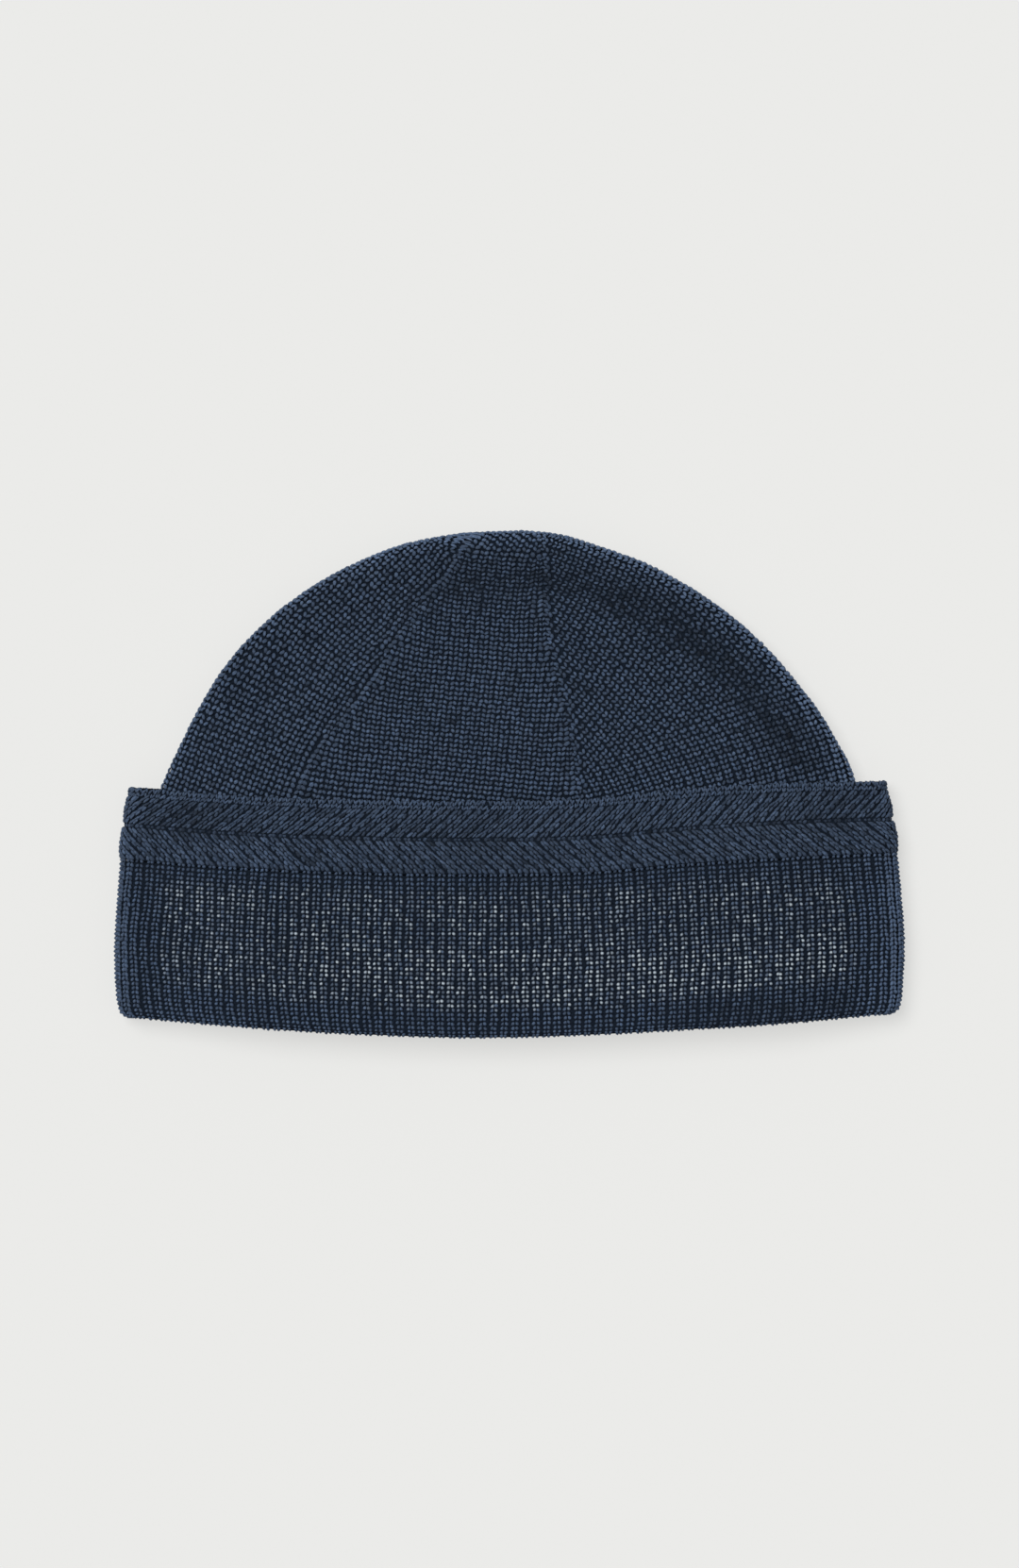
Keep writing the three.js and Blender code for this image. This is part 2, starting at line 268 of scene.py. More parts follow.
def from_outline(points):
    """Signed distance in plan from the body's outline, positive inside, with the nearest point of
    the outline and the direction inward there."""
    a, ab = OUTLINE[:-1], np.diff(OUTLINE, axis=0)
    reach = np.empty(len(points))
    near = np.empty((len(points), 2))
    inward = np.empty((len(points), 2))
    for start in range(0, len(points), BATCH):
        batch = slice(start, start + BATCH)
        rel = points[batch][:, None] - a[None]
        t = np.clip((rel * ab).sum(-1) / (ab * ab).sum(-1), 0, 1)
        gap = rel - t[..., None] * ab
        squared = (gap * gap).sum(-1)
        k = squared.argmin(1)
        rows = np.arange(len(k))
        share = t[rows, k][:, None]
        near[batch] = a[k] + ab[k] * share
        inward[batch] = unit(lerp(INWARD[k], INWARD[k + 1], share))
        sign = np.sign((gap[rows, k] * inward[batch]).sum(-1))
        reach[batch] = np.sqrt(squared[rows, k]) * sign
    return reach, near, inward


def settled(y):
    """0 where the body lies in the cuff and 1 where the crown lies on the floor."""
    return smoothstep(y, CROWN_BASE + SETTLE_START, CROWN_BASE + SETTLE_START + SETTLE_LENGTH)


def body_roll(y):
    """The radius of the body's rolled edge."""
    return lerp(CUFF_ROLL - BODY_DEPTH, CROWN_ROLL, settled(y))


def body_heights(x, y, from_edge):
    """Heights of the body's front and back skins."""
    tube = stack_height(x, y - FOLD_MIDDLE - FOLD_SAG) - BODY_DEPTH
    dent = DENT_DEPTH * hill(from_edge, DENT_PLACE, DENT_WIDTH)
    dome = lerp(CREST_HEIGHT, CROWN_LOFT, smoothstep(from_edge, CROWN_ROLL, CROWN_RISE)) - dent
    out = settled(y)
    return lerp(tube, dome, out), lerp(BODY_DEPTH, 0, out)


def rolled_point(near, inward, run, roll, face, depth):
    """A place on the body's rolled edge, by its run from the edge's widest line."""
    angle = np.clip(run / roll, 0, math.pi / 2)
    from_edge = roll * (1 - np.cos(angle))
    at = near + inward * (from_edge + depth * (1 - np.sin(angle)))[:, None]
    front, back = body_heights(at[:, 0], at[:, 1], from_edge)
    z = lerp((front + back) / 2, np.where(face > 0, front - depth, back + depth), np.sin(angle))
    return np.concatenate([at, z[:, None]], 1)


def crown_point(plan, face, depth=0.0):
    """Puts places of a plan spread flat, whose margin goes round the rolled edge, on the body.
    Gives their runs from the edge's widest line too."""
    reach, near, inward = from_outline(plan)
    roll = body_roll(plan[:, 1])
    run = reach + (math.pi / 2 - 1) * roll
    front, back = body_heights(plan[:, 0], plan[:, 1], reach)
    flat = np.concatenate([plan, np.where(face > 0, front - depth, back + depth)[:, None]], 1)
    rolled = rolled_point(near, inward, run, roll, face, depth)
    return np.where((run >= roll * math.pi / 2)[:, None], flat, rolled), run


def make_mesh(name, points, quads, tris, attributes=(), uv=None):
    """A mesh in metres from numpy arrays, with a number for each point in each named attribute."""
    mesh = bpy.data.meshes.new(name)
    quads = np.asarray(quads, np.int32).reshape(-1, 4)
    tris = np.asarray(tris, np.int32).reshape(-1, 3)
    corners = np.concatenate([quads.ravel(), tris.ravel()])
    counts = np.concatenate([np.full(len(quads), 4), np.full(len(tris), 3)]).astype(np.int32)
    starts = np.concatenate([[0], np.cumsum(counts)[:-1]]).astype(np.int32)
    mesh.vertices.add(len(points))
    mesh.vertices.foreach_set("co", (np.asarray(points) * MM).astype(np.float32).ravel())
    mesh.loops.add(len(corners))
    mesh.loops.foreach_set("vertex_index", corners)
    mesh.polygons.add(len(counts))
    mesh.polygons.foreach_set("loop_start", starts)
    mesh.polygons.foreach_set("loop_total", counts)
    mesh.polygons.foreach_set("use_smooth", np.ones(len(counts), bool))
    for key, values in dict(attributes).items():
        layer = mesh.attributes.new(key, "FLOAT", "POINT")
        layer.data.foreach_set("value", np.asarray(values, np.float32))
    if uv is not None:
        layer = mesh.uv_layers.new(name="OFBake", do_init=False)
        layer.uv.foreach_set("vector", np.asarray(uv, np.float32)[corners].ravel())
    mesh.update()
    mesh.validate()
    obj = bpy.data.objects.new(name, mesh)
    bpy.context.scene.collection.objects.link(obj)
    return obj


# How legs differ from one to the next: in height, and in thickness and brightness as shares
LEG_LIFT = 0.06
LEG_GROWTH = 0.07
LEG_TONE = 0.16
# Where the knit is smoothed, its legs are this much longer and their ends this much less deep
SMOOTH_LENGTH = 0.35
SMOOTH_SINK = 0.75
# A leg's pale tip, part pale fibre and part painted highlight, gets this much of the paleness of its place at
# least, and up to so much more
TIP_LEAST = 0.1
TIP_SPREAD = 1.9
# How high up a leg its pale part starts: it lies on the leg's upper side, where a painted highlight sits
CREST_SLOPE = 0.8
CREST_START = 0.3
# Margins in a leg's own square of the image: beside it, at its ends and before its rings
UV_SIDE = 0.08
UV_END = 0.06
UV_RINGS = 0.2


def leg_spine(path, stitches, shake, jitter, smooth):
    """Points along one leg of every stitch."""
    centre, across, ahead, normal = stitches
    shift = shake[:, :1] * jitter * across + shake[:, 1:2] * jitter * ahead
    lift = shake[:, 2:3] * LEG_LIFT * normal
    lean = shake[:, 3:4] * jitter
    spine = []
    for a, b, c in path:
        a = a + lean * b
        b = b * (1 + SMOOTH_LENGTH * smooth)
        c = c * (1 - SMOOTH_SINK * smooth) if c < 0 else c
        spine.append(centre + shift + lift + a * across + b * ahead + c * normal)
    return spine


def leg_faces(sides, rings):
    """Faces of a closed leg whose points are its first end, its rings and its last end."""
    last = 1 + rings * sides
    quads, tris = [], []
    for i in range(sides):
        j = (i + 1) % sides
        tris += [(0, 1 + j, 1 + i), (last, last - sides + i, last - sides + j)]
        for r in range(rings - 1):
            low, high = 1 + r * sides, 1 + (r + 1) * sides
            quads.append((low + i, low + j, high + j, high + i))
    return np.array(quads), np.array(tris)


def leg_uvs(total, sides, rings):
    """Places on the image: a square for each leg, with its rings one above another."""
    grid = math.ceil(math.sqrt(total))
    cell = np.arange(total)
    corner = np.stack([cell % grid, cell // grid], -1) / grid
    local = [(0.5, UV_END)]
    for r in range(rings):
        up = UV_RINGS + (1 - 2 * UV_RINGS) * r / (rings - 1)
        local += [(UV_SIDE + (1 - 2 * UV_SIDE) * i / sides, up) for i in range(sides)]
    local.append((0.5, 1 - UV_END))
    return (corner[:, None] + np.array(local)[None] / grid).reshape(-1, 2)


def legs_mesh(name, stitches, legs, sides, jitter, tones, specks=None, scale=1, smooth=0):
    """Stitches as closed legs of yarn. stitches holds every centre, the vectors of one wale across
    and one course ahead, and the normal. legs lists a leg's path in wales, courses and millimetres
    of height, the widths and heights of its rings, and how pale it may be along its path."""
    normal = stitches[3]
    count = len(normal)
    turn = np.arange(sides) * 2 * math.pi / sides
    crest = np.clip(np.sin(turn) * CREST_SLOPE + CREST_START, 0, 1)
    points, luck, tip = [], [], []
    for path, widths, heights, tips in legs:
        shake = rng.normal(0, 1, (count, 6))
        spine = leg_spine(path, stitches, shake, jitter, np.reshape(smooth, (-1, 1)))
        grow = (1 + shake[:, 4:5] * LEG_GROWTH) * np.reshape(scale, (-1, 1))
        beside = unit(np.cross(normal, unit(spine[-1] - spine[0])))
        rings = []
        for at, wide, high in zip(spine[1:-1], widths, heights):
            for angle in turn:
                out = beside * (wide * grow * math.cos(angle))
                rings.append(at + out + normal * (high * grow * math.sin(angle)))
        points.append(np.stack([spine[0], *rings, spine[-1]], 1))
        luck.append(shake[:, 5])
        ring_tips = [amount * c for amount in tips[1:-1] for c in crest]
        tip.append(np.tile([tips[0], *ring_tips, tips[-1]], (count, 1)))
    points = np.concatenate(points)
    total, each = points.shape[:2]
    brightness = np.tile(tones, len(legs)) + np.concatenate(luck) * LEG_TONE
    attributes = {"tone": np.repeat(brightness, each)}
    if specks is not None:
        chance = TIP_LEAST + TIP_SPREAD * rng.uniform(0, 1, total) ** 3
        pale = np.clip(np.tile(specks, len(legs)) * chance, 0, 1)
        attributes["pale"] = (pale[:, None] * np.concatenate(tip)).ravel()
    rings = (each - 2) // sides
    quads, tris = leg_faces(sides, rings)
    starts = (np.arange(total) * each)[:, None, None]
    uv = leg_uvs(total, sides, rings)
    return make_mesh(name, points.reshape(-1, 3), quads + starts, tris + starts, attributes, uv)


def both_legs(path, widths, heights, tips=None):
    """One leg of a stitch and its mirror image."""
    tips = tips or [0] * len(path)
    mirrored = [(-a, b, c) for a, b, c in path]
    return [(path, widths, heights, tips), (mirrored, widths, heights, tips)]


def frames(surface, u, v, du, dv):
    """Stitches of a surface at u, v, where one wale is du and one course dv."""
    across = surface(u + du / 2, v) - surface(u - du / 2, v)
    ahead = surface(u, v + dv / 2) - surface(u, v - dv / 2)
    return surface(u, v), across, ahead, unit(np.cross(across, ahead))


def grid(columns, rows):
    """Every pair of a column and a row."""
    return [v.ravel().astype(float) for v in np.meshgrid(columns, rows)]


NOISE_WAVES = 7
NOISE_SPAN = 3.2  # brings their sum to between about -1 and 1


def smooth_noise(u, v, seed, scale_u, scale_v):
    """Smooth noise between about -1 and 1 from a few waves."""
    waves = np.random.default_rng(seed)
    total = np.zeros(np.broadcast(u, v).shape)
    for _ in range(NOISE_WAVES):
        direction = waves.uniform(0, 2 * math.pi)
        pitch = waves.uniform(0.6, 1.8)
        phase = waves.uniform(0, 2 * math.pi)
        way = math.cos(direction) * u / scale_u + math.sin(direction) * v / scale_v
        total += np.sin(2 * math.pi * pitch * way + phase)
    return total / NOISE_SPAN


def patches(u, v, rows):
    """Smooth noises added up. Each row is a seed, the size both ways and the amount."""
    return sum(smooth_noise(u, v, seed, wide, tall) * amount for seed, wide, tall, amount in rows)


KNIT_DEPTH = 0.75  # from the tops of the stitches to the middle of their yarn
NOISE_PITCH = 3.27  # of the ribs, where noise is read along them
FRONT_RIBS = 78  # of the ribs, counted from the left side
FRONT_SIDES, BACK_SIDES = 5, 4  # sides of a leg

# Cuff: straight ribs, drawn from the brim upward
COURSE = 1.39
FIRST_RUN = 0.55
MOUTH_RUN = -12  # where the separate stitches end inside the mouth
RUN_TOP = QUARTER_FOLD + BORDER_BASE - SEAM_GAP - FOLD_RADIUS
RIB_SWAY = [(3, 30, 22, 0.08), (4, 7, 9, 0.02)]
RIB_JITTER = 0.035
RIB_LEGS = both_legs(
    [(0.1, 0.49, -0.45), (0.135, 0.27, 0.02), (0.21, 0.0, 0.24), (0.285, -0.24, -0.03), (0.31, -0.45, -0.53)],
    [0.42, 0.55, 0.42], [0.38, 0.48, 0.38], [0, 0.6, 1, 0.25, 0],
)
FOLD_LEGS = both_legs(
    [(0.05, 0.6, -0.4), (0.1, 0.3, 0.1), (0.26, -0.3, 0.1), (0.3, -0.6, -0.4)], [0.4, 0.4], [0.4, 0.38],
)
SMOOTH_SIDES = (113, 119)  # how far out the ribs turn smooth

# Brightness of the cuff, with painted shade along the brim and low on its right half and painted light at its
# right end: amounts as shares, and where each starts and ends
CUFF_PATCHES = [(5, 60, 40, 0.05), (6, 5, 5, 0.05)]
# Painted shade: the rows nearest the brim are made darker
BRIM_PAINTED_SHADE = 0.14
BRIM_RUNS = (1, 5)
# Painted light: the cuff's right end is made lighter
RIGHT_END_PAINTED_LIGHT = 0.25
RIGHT_END = (105, 114)
BARE_LIGHT = 0.14
BARE_TOP = (38, 48)
# Painted shade: a darker patch low on the cuff's right half, near the brim
CORNER_PAINTED_SHADE = 0.3
CORNER_START = (35, 65)
CORNER_END = (100, 112)
CORNER_TOP = (6, 11)

# Field of pale tips on the cuff's front, pale fibres and painted highlights on the legs' crests: its margins,
# and how strong it is in them
PALE_LEFT = (-110, -103)
PALE_RIGHT = (101, 109)
PALE_TOP = (42, 48)
PALE_FLOOR = 6.5
PALE_FLOOR_RISE = 5.0  # at the sides
PALE_REACH = 110
PALE_FLOOR_FADE = 5
PALE_LOWEST_Z = 5
PALE_BASE = 0.4
PALE_BAND = 0.56
PALE_BAND_FADE = 7
PALE_BAND_TOP = (21, 31)
PALE_BAND_START = (-60, -10)
PALE_BAND_LEFT = 0.2
PALE_CORNER = 0.25
PALE_CORNER_START = (75, 95)
PALE_CORNER_RISE = (36, 42)
PALE_PATCHES = [(7, 40, 30, 0.07), (8, 8, 9, 0.1)]
PALE_LEAST = 0.1


def rib_surface(k, run):
    sway = patches(k * NOISE_PITCH, run, RIB_SWAY)
    return brim_point((k + sway) / RIBS, run, KNIT_DEPTH)


def pale_floor(x):
    """Where the field of pale tips starts, above the fold."""
    return PALE_FLOOR + PALE_FLOOR_RISE * (x / PALE_REACH) ** 2


def pale_room(x, above):
    """1 in the field of pale tips and 0 outside it."""
    sides = smoothstep(x, *PALE_LEFT) * fade(x, *PALE_RIGHT)
    return sides * smoothstep(above - pale_floor(x), 0, PALE_FLOOR_FADE) * fade(above, *PALE_TOP)


def pale_strength(x, y, above):
    """How pale the tips are, as pale fibres and painted highlight, strongest in a band low on the cuff's
    right half.
    """
    band = smoothstep(above - pale_floor(x), 0, PALE_BAND_FADE) * fade(above, *PALE_BAND_TOP)
    strength = PALE_BASE + PALE_BAND * band * lerp(PALE_BAND_LEFT, 1, smoothstep(x, *PALE_BAND_START))
    corner = PALE_CORNER * smoothstep(x, *PALE_CORNER_START) * smoothstep(above, *PALE_CORNER_RISE)
    return np.clip(strength - corner + patches(x, y, PALE_PATCHES), PALE_LEAST, 1)


def cuff_knit(name, columns, runs, sides, legs, specks=False):
    k, run = grid(columns, runs)
    stitches = frames(rib_surface, k, run, 1.0, COURSE)
    x, y, z = stitches[0].T
    # Painted shade on the lowest rows above the brim
    tone = patches(x, y, CUFF_PATCHES) - BRIM_PAINTED_SHADE * fade(run, *BRIM_RUNS) * (run > 0)
    # Painted light at the cuff's right end
    tone = tone + RIGHT_END_PAINTED_LIGHT * smoothstep(x, *RIGHT_END)
    pale = None
    if specks:
        above = run - QUARTER_FOLD + FOLD_RADIUS
        room = pale_room(x, above)
        # Painted shade in the lower right of the cuff
        corner = smoothstep(x, *CORNER_START) * fade(x, *CORNER_END) * fade(above, *CORNER_TOP)
        tone = tone + BARE_LIGHT * (1 - room) * fade(above, *BARE_TOP) - CORNER_PAINTED_SHADE * corner
        pale = np.where(z > PALE_LOWEST_Z, pale_strength(x, y, above) * room, 0)
    smooth = smoothstep(np.abs(x), *SMOOTH_SIDES)
    return legs_mesh(name, stitches, legs, sides, RIB_JITTER, tone, pale, smooth=smooth)


outer_runs = np.arange(FIRST_RUN, RUN_TOP + SEAM_GAP, COURSE)
fold_runs = np.arange(FIRST_RUN - COURSE, MOUTH_RUN, -COURSE)
front_ribs, back_ribs = np.arange(0, FRONT_RIBS), np.arange(FRONT_RIBS, RIBS)
cuff_front = cuff_knit("cuff_front_knit", front_ribs, outer_runs, FRONT_SIDES, RIB_LEGS, specks=True)
cuff_back = cuff_knit("cuff_back_knit", back_ribs, outer_runs, BACK_SIDES, RIB_LEGS)
brim_fold = cuff_knit("brim_fold_knit", np.arange(0, RIBS), fold_runs, BACK_SIDES, FOLD_LEGS)

# Border: ribs racked left and then right, and a bound off edge
BORDER_COURSES = 14
EDGE_START = 0.875  # of the border's height
EDGE_ROWS = 2
RIB_PITCH = 3.24
BORDER_MARGIN = 0.45
BORDER_PROUD = 0.9
BORDER_RELIEF = 0.45
NOISE_TALL = 23
BORDER_SWAY = [(13, 30, 22, 0.12), (14, 7, 9, 0.06)]
BORDER_DIP = [(15, 22, 9, 0.3)]
# Share of the border's height, then how many ribs the racking has moved to the side
BORDER_SHIFT = [
    (0, 0), (0.03, -0.1), (0.445, -3.4), (0.475, -3.4), (0.87, -0.2), (0.93, 0), (1, 0.1),
]
# The racking turns back in a groove
TURN_UP = 0.46
TURN_DEPTH = 0.45
TURN_WIDTH = 0.022
BORDER_JITTER = 0.04
BORDER_LEGS = both_legs(
    [(0.12, 0.66, -0.3), (0.15, 0.4, 0.08), (0.2, 0.0, 0.2), (0.24, -0.4, 0.0), (0.26, -0.66, -0.46)],
    [0.6, 0.76, 0.6], [0.42, 0.52, 0.42],
)
EDGE_JITTER = 0.1
EDGE_LEGS = both_legs(
    [(0.02, 0.6, -0.4), (0.1, 0.36, 0.0), (0.27, 0.0, 0.2), (0.42, -0.36, 0.0), (0.5, -0.6, -0.45)],
    [0.32, 0.4, 0.32], [0.34, 0.42, 0.34],
)

# Brightness of the border, with painted shade at its corners and in the groove where the racking turns and
# painted light at its ends: amounts as shares, then places and widths
BORDER_PATCHES = [(16, 50, 20, 0.05)]
BORDER_DARK = 0.16
# Painted shade in the groove where the racking turns
TURN_PAINTED_SHADE = 0.22
TURN_DARK_WIDTH = 0.03
# Painted shade at the border's left and right corners
LEFT_PAINTED_SHADE = (0.32, -100, 11)
RIGHT_PAINTED_SHADE = (0.26, 101, 9)
SIDE_DARK_RISE = (-20, -10)
MIDDLE_DARK = (0.1, -10, 40)
# Painted light at the border's ends
END_PAINTED_LIGHT = 0.12
END_LIGHT_START = (111, 118)
EDGE_DARK = 0.06


def border_depth(up, under):
    """Depth of what lies under the border's relief."""
    return under - BORDER_PROUD - BORDER_RELIEF * (along(BORDER_ROWS, 1, up) - 1)


def border_surface(k, up):
    table = np.array(BORDER_SHIFT)
    shift = np.interp(up, table[:, 0], table[:, 1])
    x = k * NOISE_PITCH
    sway = patches(x, up * NOISE_TALL, BORDER_SWAY)
    depth = border_depth(up, KNIT_DEPTH) + TURN_DEPTH * hill(up, TURN_UP, TURN_WIDTH)
    dip = patches(x, 0, BORDER_DIP) * (1 - up) * up
    above = BORDER_BASE + up * (BORDER_TALL - 2 * BORDER_MARGIN) + BORDER_MARGIN + dip
    return cuff_point((k + sway + shift) / RIBS, above, depth)


def border_tone(x, y, up):
    # Painted shade at the border's corners, a darker band in its middle, and painted light at both its ends
    painted_shading = sum(amount * hill(x, middle, width) for amount, middle, width in (LEFT_PAINTED_SHADE, RIGHT_PAINTED_SHADE))
    painted_shading = painted_shading * smoothstep(y, *SIDE_DARK_RISE)
    amount, middle, width = MIDDLE_DARK
    painted_shading = painted_shading + amount * hill(x, middle, width) - END_PAINTED_LIGHT * smoothstep(np.abs(x), *END_LIGHT_START)
    # Painted shade in the groove
    groove_shade = TURN_PAINTED_SHADE * hill(up, TURN_UP, TURN_DARK_WIDTH)
    return patches(x, y, BORDER_PATCHES) - painted_shading - BORDER_DARK - groove_shade


def border_knit(name, columns, sides):
    step = EDGE_START / BORDER_COURSES
    k, up = grid(columns, (np.arange(BORDER_COURSES) + 0.5) * step)
    stitches = frames(border_surface, k, up, 1.0, step)
    centre, across, ahead = stitches[:3]
    tone = border_tone(centre[:, 0], centre[:, 1], up)
    pitch = np.linalg.norm(np.cross(across, ahead), axis=1) / np.linalg.norm(ahead, axis=1)
    scale = pitch / RIB_PITCH
    ribs = legs_mesh(name + "_ribs", stitches, BORDER_LEGS, sides, BORDER_JITTER, tone, scale=scale)
    step = (1 - EDGE_START) / EDGE_ROWS
    half_ribs = np.arange(len(columns) * 2) / 2 + columns[0]
    k, up = grid(half_ribs, EDGE_START + (np.arange(EDGE_ROWS) + 0.5) * step)
    stitches = frames(border_surface, k, up, 0.5, step)
    tone = np.full(len(k), -EDGE_DARK)
    return [ribs, legs_mesh(name + "_edge", stitches, EDGE_LEGS, sides, EDGE_JITTER, tone)]


border_front = border_knit("border_front", front_ribs, FRONT_SIDES)
border_back = border_knit("border_back", back_ribs, BACK_SIDES)

# Crown: wales and courses, gore by gore: a left, a middle and a right one on each face. Each guide
# is t, x, y, from the courses hidden in the cuff, where t is below 0, up to the last one at the
# top, where t is 1.
LEFT_GUIDE = [
    (-0.37, -110, -8), (0, -97, 24), (0.3, -75, 51), (0.55, -52.5, 66.3),
    (0.77, -31, 74.8), (0.9, -18.5, 77.6), (1, -9, 80),
]
LEFT_SEAM = [
    (-0.37, -74, -25), (0, -60, 7.5), (0.3, -43, 29), (0.55, -32, 48),
    (0.77, -19.5, 63.2), (0.9, -13.5, 71.5), (1, -8, 79),
]
RIGHT_SEAM = [
    (-0.37, 21.5, -30), (0, 20.5, -1), (0.3, 17, 23), (0.55, 11.7, 43.5),
    (0.77, 10.5, 60), (0.9, 10.3, 69.7), (1, 10, 79),
]
RIGHT_GUIDE = [
    (-0.37, 107.5, -8), (0, 95.5, 23), (0.3, 74, 46), (0.55, 51.5, 63.4),
    (0.77, 30.5, 73.4), (0.9, 18.5, 77.8), (1, 12, 80),
]
# Where the reference wale of each gore runs, as a share of the way across: t, share
LEFT_AXIS = [(-0.37, 0), (0, 0), (0.3, -0.13), (0.55, -0.42), (0.77, -1.3), (0.9, -3), (1, -4)]
MIDDLE_AXIS = [(-0.37, 0.5), (0, 0.5), (0.3, 0.427), (0.55, 0.382), (0.77, 0.197), (0.9, 0.05), (1, 0)]
RIGHT_AXIS = [(-0.37, 0.9), (1, 0.9)]
CROWN_COURSES = 53
HIDDEN_COURSES = 18  # in the cuff
MOST_WALES = 60  # to each side of the reference wale
WALE = 3.05
LEFT_SPILL = 9.0  # how far the wales go on past an outer guide
RIGHT_SPILL = 4.0
SEAM_ROOM = 0.15  # of a wale, the least room a stitch needs beside a seam
SEAM_LAP = 0.35
SEAM_BEND = 13.0  # how far from a seam its courses start to bend, at most
SEAM_BEND_SHARE = 0.45  # of the narrower gore's width, at most


def guide(rows, t):
    """Plan places on a guide."""
    return np.stack([along(rows, 1, t), along(rows, 2, t)], -1)


def turned(away, heading, other, bend):
    """How far a place on a course is moved where the course bends over into the next gore."""
    share = np.clip((bend - away) / (2 * bend), 0, 1)[:, None]
    bend = bend[:, None]
    return heading * (bend * (1 - share) ** 2 - np.minimum(away[:, None], bend)) + other * bend * share ** 2


def gore_lattice(start, end, axis, before=None, after=None):
    """Plan places of one gore's stitches, with one wale across and one course ahead in plan. At a
    seam the wales run out one after another, and a stitch next to it is fitted in. before and
    after are the far guides of the gores next to it."""
    step = 1 / CROWN_COURSES
    ts = np.arange(-HIDDEN_COURSES, CROWN_COURSES + 1) * step
    width = np.linalg.norm(guide(end, ts) - guide(start, ts), axis=1)
    reference = along(axis, 1, ts) * width
    low = np.full(len(ts), -SEAM_LAP if before else -LEFT_SPILL)
    high = width + (SEAM_LAP if after else RIGHT_SPILL)
    first, last = low + SEAM_ROOM * WALE, high - SEAM_ROOM * WALE

    def plan(t, at):
        a, b = guide(start, t), guide(end, t)
        wide = np.linalg.norm(b - a, axis=1)
        heading = unit(b - a)
        point = a + heading * at[:, None]
        for corner, away, onward, side in ((a, at, before, 1), (b, wide - at, after, -1)):
            if onward:
                other = guide(onward, t) - corner
                narrower = np.minimum(wide, np.linalg.norm(other, axis=1))
                bend = np.minimum(SEAM_BEND, SEAM_BEND_SHARE * narrower)
                point = point + turned(away, heading * side, unit(other), bend)
        return point

    wales = []
    for j in range(-MOST_WALES, MOST_WALES + 1):
        at = reference + (j + 0.5) * WALE
        keep = (at > first) & (at < last)
        left = np.where(at - WALE <= first, np.maximum(low, at - WALE), at - WALE / 2)
        right = np.where(at + WALE >= last, np.minimum(high, at + WALE), at + WALE / 2)
        slope = np.gradient(at, ts)[keep]
        t, at, broad = ts[keep], (left + right)[keep] / 2, (right - left)[keep]
        here = plan(t, at)
        ahead = plan(t + step / 2, at + slope * step / 2) - plan(t - step / 2, at - slope * step / 2)
        across = plan(t, at + broad / 2) - plan(t, at - broad / 2)
        wales.append((here, across, ahead))
    return [np.concatenate([w[i] for w in wales]) for i in range(3)]


left_gore = gore_lattice(LEFT_GUIDE, LEFT_SEAM, LEFT_AXIS, after=RIGHT_SEAM)
right_gore = gore_lattice(RIGHT_SEAM, RIGHT_GUIDE, RIGHT_AXIS, before=LEFT_SEAM)
middle_gore = gore_lattice(LEFT_SEAM, RIGHT_SEAM, MIDDLE_AXIS, LEFT_GUIDE, RIGHT_GUIDE)

EDGE_COURSE = 1.75
EDGE_FIRST = 0.8
EDGE_RUN = 0.76  # of the edge's wale from the crown's widest line
EVEN_COURSE = 1.65  # the course whose legs are full size
CROWN_JITTER = 0.04
CROWN_LEGS = both_legs(
    [(0.0, -0.3, -0.2), (0.11, -0.2, 0.1), (0.25, 0.0, 0.2), (0.39, 0.17, 0.05), (0.48, 0.28, -0.42)],
    [0.5, 0.62, 0.52], [0.38, 0.46, 0.38],
)
LEFT_CROWN_LEGS = both_legs(
    [(0.08, -0.44, -0.15), (0.15, -0.27, 0.12), (0.25, 0.0, 0.2), (0.35, 0.25, 0.06), (0.42, 0.42, -0.38)],
    [0.5, 0.6, 0.5], [0.38, 0.46, 0.38],
)
RIGHT_CROWN_LEGS = both_legs(
    [(0.03, -0.42, -0.2), (0.12, -0.27, 0.1), (0.23, 0.0, 0.2), (0.31, 0.28, 0.03), (0.35, 0.5, -0.45)],
    [0.48, 0.58, 0.48], [0.38, 0.46, 0.38],
)
# A single leg
EDGE_WALE_LEGS = both_legs(
    [(-0.07, -0.66, -0.35), (-0.04, -0.4, 0.04), (0, 0, 0.18), (0.04, 0.4, 0.04), (0.07, 0.66, -0.35)],
    [0.55, 0.68, 0.55], [0.4, 0.46, 0.4],
)[:1]


def edge_wale(face):
    """Frames of the legs that run along the crown's widest line, up both sides to the top."""
    places = lengths(OUTLINE)
    at = np.arange(EDGE_FIRST, places[-1], EDGE_COURSE)
    side = np.where(at < places[len(LEFT_EDGE) - 1], 1, -1)[:, None]

    def place(at, run):
        near, inward = read(OUTLINE, places, at), unit(read(INWARD, places, at))
        return rolled_point(near, inward, run, body_roll(near[:, 1]), face, KNIT_DEPTH)

    across = (place(at, EDGE_RUN + 0.5) - place(at, EDGE_RUN - 0.5)) * side * WALE
    ahead = (place(at + EDGE_COURSE / 2, EDGE_RUN) - place(at - EDGE_COURSE / 2, EDGE_RUN)) * side
    return place(at, EDGE_RUN), across, ahead


EDGE_CLEAR = 0.2  # between the edge's wale and the gores
LOWEST_Y = -7  # of the gores' stitches, which end inside the cuff
PLAN_JITTER = 0.06
WANDER = 0.07
WANDER_SIZE = (11, 9)


